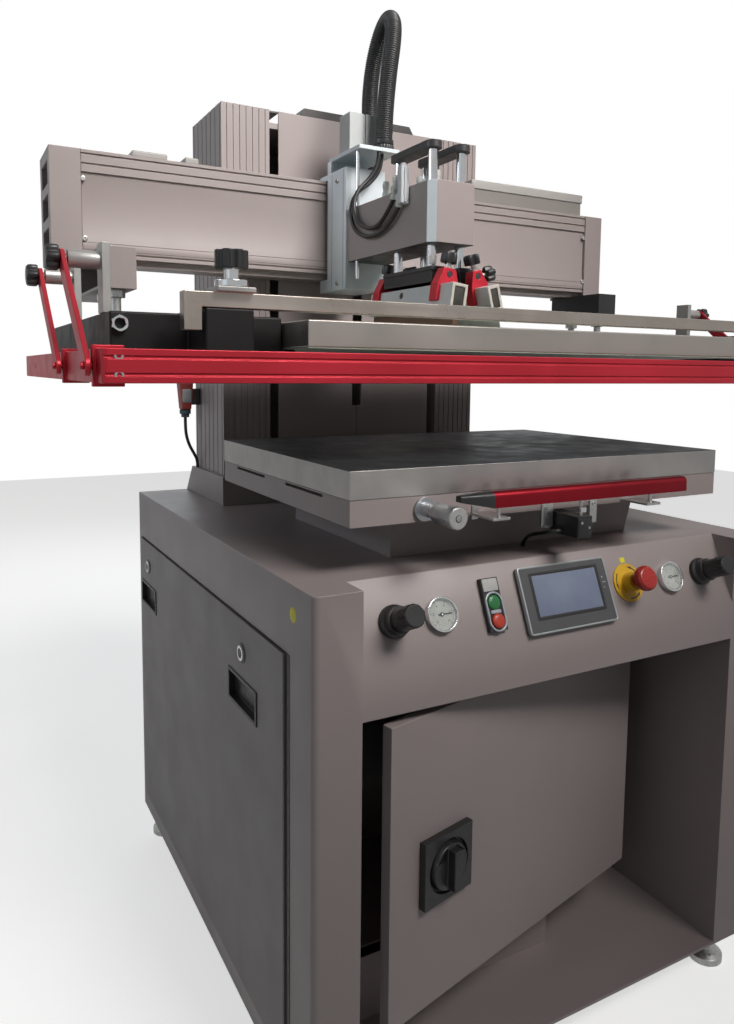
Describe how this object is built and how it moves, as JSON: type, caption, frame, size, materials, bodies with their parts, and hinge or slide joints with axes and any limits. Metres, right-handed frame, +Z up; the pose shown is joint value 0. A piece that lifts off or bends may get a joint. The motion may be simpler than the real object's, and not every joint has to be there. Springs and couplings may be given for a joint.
{
  "type": "flatbed screen printing press",
  "caption": "Floor-standing flatbed screen printing press: a steel cabinet with a sloped console, a fixed table and a head that lifts on a tower with screen, squeegee and guard.",
  "frame": {"origin": "on the floor under the middle of the cabinet's footprint", "axes": "+X to the operator's right, +Y to the back, +Z up"},
  "size_m": [1.436, 1, 1.8207],
  "materials": {
    "taupe_paint": "satin, fine texture",
    "black_paint": "satin",
    "red_anodised": "satin anodised",
    "stainless": "brushed",
    "satin_aluminium": "satin",
    "ground_aluminium": "ground",
    "polished_steel": "polished",
    "zinc_steel": "zinc plated",
    "black_plastic": "moulded",
    "grey_plastic": "moulded",
    "pale_plastic": "moulded",
    "red_plastic": "moulded",
    "green_plastic": "moulded",
    "yellow_plastic": "moulded",
    "black_rubber": "matte",
    "blade_rubber": "matte",
    "clear_glass": "clear",
    "mesh_cloth": "woven"
  },
  "bodies": {
    "base": {"cabinet_shell": "taupe_paint", "levelling_feet": "zinc_steel", "electrical_box": "taupe_paint", "left_side_cover": "taupe_paint", "cup_handles": "black_plastic", "panel_bezels": "black_plastic", "gauge_cases": "polished_steel", "console_windows": "clear_glass", "touch_screen_housing": "grey_plastic", "emergency_stop_collar": "yellow_plastic", "table_pedestal": "taupe_paint", "table_carrier": "taupe_paint", "micrometer_sleeve": "polished_steel", "switch_box": "black_plastic", "control_cables": "black_rubber", "tower_plinth": "taupe_paint", "tower_posts": "taupe_paint", "tower_covers": "taupe_paint", "side_connector": "red_plastic"},
    "head": {"lift_carriage": "black_paint", "beam": "taupe_paint", "beam_end_caps": "taupe_paint", "cable_tray": "pale_plastic", "arm_brackets": "taupe_paint", "height_adjusters": "zinc_steel", "side_arms": "black_paint", "cross_rails": "stainless", "screen_frame": "stainless", "screen_mesh": "mesh_cloth"},
    "carriage": {"carriage_plate": "satin_aluminium", "head_block": "taupe_paint", "hoses": "black_rubber"},
    "squeegee_lift": {"squeegee_lift": "polished_steel"},
    "flood_lift": {"flood_lift": "polished_steel"},
    "squeegee": {"squeegee_clamps": "red_anodised", "squeegee_holder": "satin_aluminium", "squeegee_blade": "blade_rubber"},
    "flood_bar": {"flood_clamps": "red_anodised", "flood_holder": "satin_aluminium"},
    "electrical_door": {"electrical_door": "taupe_paint", "main_switch_plate": "black_plastic"},
    "main_switch_knob": {"main_switch_knob": "black_plastic"},
    "front_cam_lock": {"front_cam_lock": "polished_steel"},
    "rear_cam_lock": {"rear_cam_lock": "polished_steel"},
    "left_regulator_knob": {"left_regulator_knob": "black_plastic"},
    "right_regulator_knob": {"right_regulator_knob": "black_plastic"},
    "left_gauge_needle": {"left_gauge_needle": "black_paint"},
    "right_gauge_needle": {"right_gauge_needle": "black_paint"},
    "start_button": {"start_button": "green_plastic"},
    "stop_button": {"stop_button": "red_plastic"},
    "emergency_stop_head": {"emergency_stop_head": "red_plastic"},
    "table_top": {"table_top": "ground_aluminium"},
    "micrometer_thimble": {"micrometer_thimble": "polished_steel"},
    "touch_bar": {"touch_bar": "red_anodised"},
    "lift_screw": {"lift_screw": "zinc_steel"},
    "left_star_knob": {"left_star_knob": "black_plastic"},
    "right_star_knob": {"right_star_knob": "black_plastic"},
    "front_levers": {"front_levers": "red_anodised"},
    "rear_levers": {"rear_levers": "red_anodised"},
    "guard_bar": {"guard_bar": "red_anodised"}
  },
  "joints": [
    {"name": "head_lift", "type": "slide", "parent": "base", "child": "head", "axis": [0, 0, 1], "range_m": [-0.155, 0]},
    {"name": "lift_screw_turn", "type": "hinge", "parent": "base", "child": "lift_screw", "pos_m": [0, 0.33, 1.24], "axis": [0, 0, 1], "range_deg": [-5600, 20]},
    {"name": "carriage_traverse", "type": "slide", "parent": "head", "child": "carriage", "axis": [1, 0, 0], "range_m": [-0.25, 0.37]},
    {"name": "squeegee_lower", "type": "slide", "parent": "carriage", "child": "squeegee_lift", "axis": [0, 0, 1], "range_m": [-0.044, 0]},
    {"name": "flood_lower", "type": "slide", "parent": "carriage", "child": "flood_lift", "axis": [0, 0, 1], "range_m": [-0.04, 0]},
    {"name": "squeegee_tilt", "type": "hinge", "parent": "squeegee_lift", "child": "squeegee", "pos_m": [-0.0915, -0.15, 1.25], "axis": [0, 1, 0], "range_deg": [-10, 10]},
    {"name": "flood_tilt", "type": "hinge", "parent": "flood_lift", "child": "flood_bar", "pos_m": [-0.0345, -0.15, 1.25], "axis": [0, 1, 0], "range_deg": [-8, 8]},
    {"name": "guard_swing", "type": "hinge", "parent": "head", "child": "front_levers", "pos_m": [0, -0.325, 1.224], "axis": [-1, 0, 0], "range_deg": [0, 15]},
    {"name": "rear_lever_swing", "type": "hinge", "parent": "head", "child": "rear_levers", "pos_m": [0, -0.107, 1.224], "axis": [-1, 0, 0], "range_deg": [0, 15]},
    {"name": "guard_level", "type": "hinge", "parent": "front_levers", "child": "guard_bar", "pos_m": [0, -0.485, 1.0945], "axis": [-1, 0, 0], "range_deg": [-15, 0]},
    {"name": "table_feed", "type": "slide", "parent": "base", "child": "table_top", "axis": [0, 1, 0], "range_m": [-0.008, 0.008]},
    {"name": "micrometer_turn", "type": "hinge", "parent": "table_top", "child": "micrometer_thimble", "pos_m": [-0.244, -0.49, 0.9], "axis": [0, 1, 0], "range_deg": [-1930, 1930]},
    {"name": "touch_bar_press", "type": "slide", "parent": "base", "child": "touch_bar", "axis": [0, 0, 1], "range_m": [-0.004, 0], "stiffness_N_per_m": 800, "springref_m": 0.02},
    {"name": "start_press", "type": "slide", "parent": "base", "child": "start_button", "axis": [0, -0.9171, 0.3987], "range_m": [-0.003, 0], "stiffness_N_per_m": 500, "springref_m": 0.004},
    {"name": "stop_press", "type": "slide", "parent": "base", "child": "stop_button", "axis": [0, -0.9171, 0.3987], "range_m": [-0.003, 0], "stiffness_N_per_m": 500, "springref_m": 0.004},
    {"name": "emergency_stop_press", "type": "slide", "parent": "base", "child": "emergency_stop_head", "axis": [0, -0.9171, 0.3987], "range_m": [-0.005, 0]},
    {"name": "left_regulator_turn", "type": "hinge", "parent": "base", "child": "left_regulator_knob", "pos_m": [-0.305, -0.45488, 0.75277], "axis": [0, 0.9171, -0.3987], "range_deg": [0, 1080]},
    {"name": "right_regulator_turn", "type": "hinge", "parent": "base", "child": "right_regulator_knob", "pos_m": [0.305, -0.45488, 0.75277], "axis": [0, 0.9171, -0.3987], "range_deg": [0, 1080]},
    {"name": "left_needle_turn", "type": "hinge", "parent": "base", "child": "left_gauge_needle", "pos_m": [-0.229, -0.45528, 0.75186], "axis": [0, 0.9171, -0.3987], "range_deg": [0, 270.5]},
    {"name": "right_needle_turn", "type": "hinge", "parent": "base", "child": "right_gauge_needle", "pos_m": [0.229, -0.45528, 0.75186], "axis": [0, 0.9171, -0.3987], "range_deg": [0, 270.5]},
    {"name": "electrical_door_swing", "type": "hinge", "parent": "base", "child": "electrical_door", "pos_m": [0.276, -0.323, 0.4], "axis": [0, 0, 1], "range_deg": [-13.5, 85]},
    {"name": "main_switch_turn", "type": "hinge", "parent": "electrical_door", "child": "main_switch_knob", "pos_m": [-0.22283, -0.44276, 0.385], "axis": [-0.2334, 0.9724, 0], "range_deg": [0, 90]},
    {"name": "front_cam_turn", "type": "hinge", "parent": "base", "child": "front_cam_lock", "pos_m": [-0.438, -0.222, 0.656], "axis": [1, 0, 0], "range_deg": [0, 90]},
    {"name": "rear_cam_turn", "type": "hinge", "parent": "base", "child": "rear_cam_lock", "pos_m": [-0.438, 0.385, 0.656], "axis": [1, 0, 0], "range_deg": [0, 90]},
    {"name": "left_star_turn", "type": "hinge", "parent": "head", "child": "left_star_knob", "pos_m": [-0.525, -0.44, 1.2], "axis": [0, 0, 1], "range_deg": [0, 720]},
    {"name": "right_star_turn", "type": "hinge", "parent": "head", "child": "right_star_knob", "pos_m": [0.525, -0.44, 1.2], "axis": [0, 0, 1], "range_deg": [0, 720]}
  ],
  "couplings": [
    {"joint": "lift_screw_turn", "follows": "head_lift", "rad_per_m": 628.32},
    {"joint": "rear_lever_swing", "follows": "guard_swing", "ratio": 1},
    {"joint": "guard_level", "follows": "guard_swing", "ratio": -1},
    {"joint": "micrometer_turn", "follows": "table_feed", "rad_per_m": 4188.8},
    {"joint": "left_needle_turn", "follows": "left_regulator_turn", "ratio": 0.25},
    {"joint": "right_needle_turn", "follows": "right_regulator_turn", "ratio": 0.25}
  ]
}
